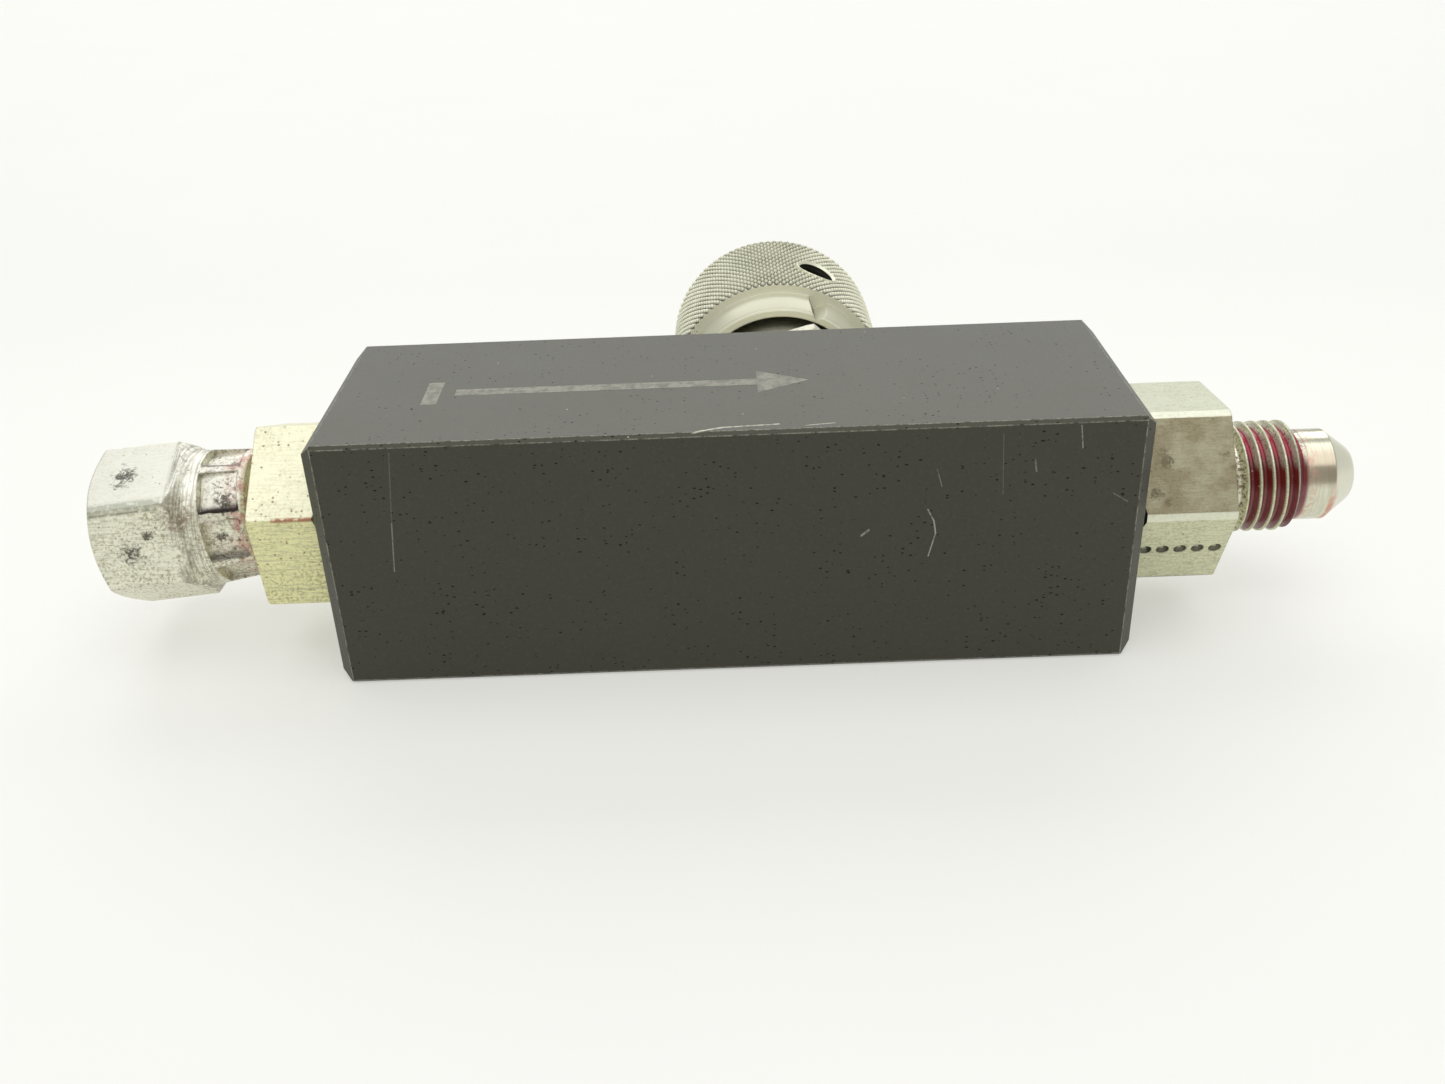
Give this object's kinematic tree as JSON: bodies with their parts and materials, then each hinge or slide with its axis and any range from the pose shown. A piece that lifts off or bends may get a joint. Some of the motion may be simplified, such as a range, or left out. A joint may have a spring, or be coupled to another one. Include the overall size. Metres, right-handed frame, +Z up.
{
  "type": "flow control valve",
  "caption": "Square-bodied in-line flow control valve with a knurled needle knob, an inner check ball, a male flare outlet and a female flare swivel inlet",
  "frame": {"origin": "centre of the body's flat underside", "axes": "+X along the flow from inlet to outlet, +Y from the plain front face to the knob, +Z up"},
  "size_m": [0.1246, 0.058, 0.0254],
  "materials": {
    "valve_body": "black oxide steel, dull satin",
    "inlet_adapter": "zinc with a yellow-green chromate tint, speckled",
    "inlet_port_oring": "black nitrile",
    "inlet_swivel_nut": "bright zinc, pitted, brown residue on the neck",
    "outlet_adapter": "bright zinc, machined, red sealant in the thread roots",
    "outlet_port_oring": "black nitrile",
    "bonnet": "zinc-plated steel",
    "bonnet_oring": "black nitrile",
    "needle_seat": "hardened steel",
    "needle": "ground steel",
    "stem": "turned steel",
    "stem_oring": "black nitrile",
    "stem_backup_ring": "white PTFE",
    "knob": "satin plated, diamond knurled",
    "knob_set_screw": "black alloy steel",
    "check_ball": "polished steel",
    "check_spring": "spring wire",
    "check_retainer": "turned steel"
  },
  "bodies": {
    "housing": {"valve_body": "valve_body", "inlet_adapter": "inlet_adapter", "inlet_port_oring": "inlet_port_oring", "outlet_adapter": "outlet_adapter", "outlet_port_oring": "outlet_port_oring", "bonnet": "bonnet", "bonnet_oring": "bonnet_oring", "needle_seat": "needle_seat", "check_spring": "check_spring", "check_retainer": "check_retainer"},
    "stem_seals": {"stem_oring": "stem_oring", "stem_backup_ring": "stem_backup_ring"},
    "knob_and_needle": {"stem": "stem", "needle": "needle", "knob": "knob", "knob_set_screw": "knob_set_screw"},
    "swivel_nut": {"inlet_swivel_nut": "inlet_swivel_nut"},
    "check_ball": {"check_ball": "check_ball"}
  },
  "joints": [
    {"name": "stem_travel", "type": "slide", "parent": "housing", "child": "stem_seals", "axis": [0, 1, 0], "range_m": [-0.00317, 0.00317]},
    {"name": "knob_turn", "type": "hinge", "parent": "stem_seals", "child": "knob_and_needle", "pos_m": [0.00635, 0.035, 0.0127], "axis": [0, 1, 0], "range_deg": [-1080, 1080]},
    {"name": "nut_swivel", "type": "hinge", "parent": "housing", "child": "swivel_nut", "pos_m": [-0.0491, 0, 0.0127], "axis": [-0.9954, 0, -0.0958], "continuous": true},
    {"name": "check_lift", "type": "slide", "parent": "housing", "child": "check_ball", "axis": [1, 0, 0], "range_m": [0, 0.0015], "stiffness_N_per_m": 120, "springref_m": -0.0005, "deforming": ["check_spring"]}
  ],
  "couplings": [
    {"joint": "knob_turn", "follows": "stem_travel", "rad_per_m": 5936.9}
  ]
}
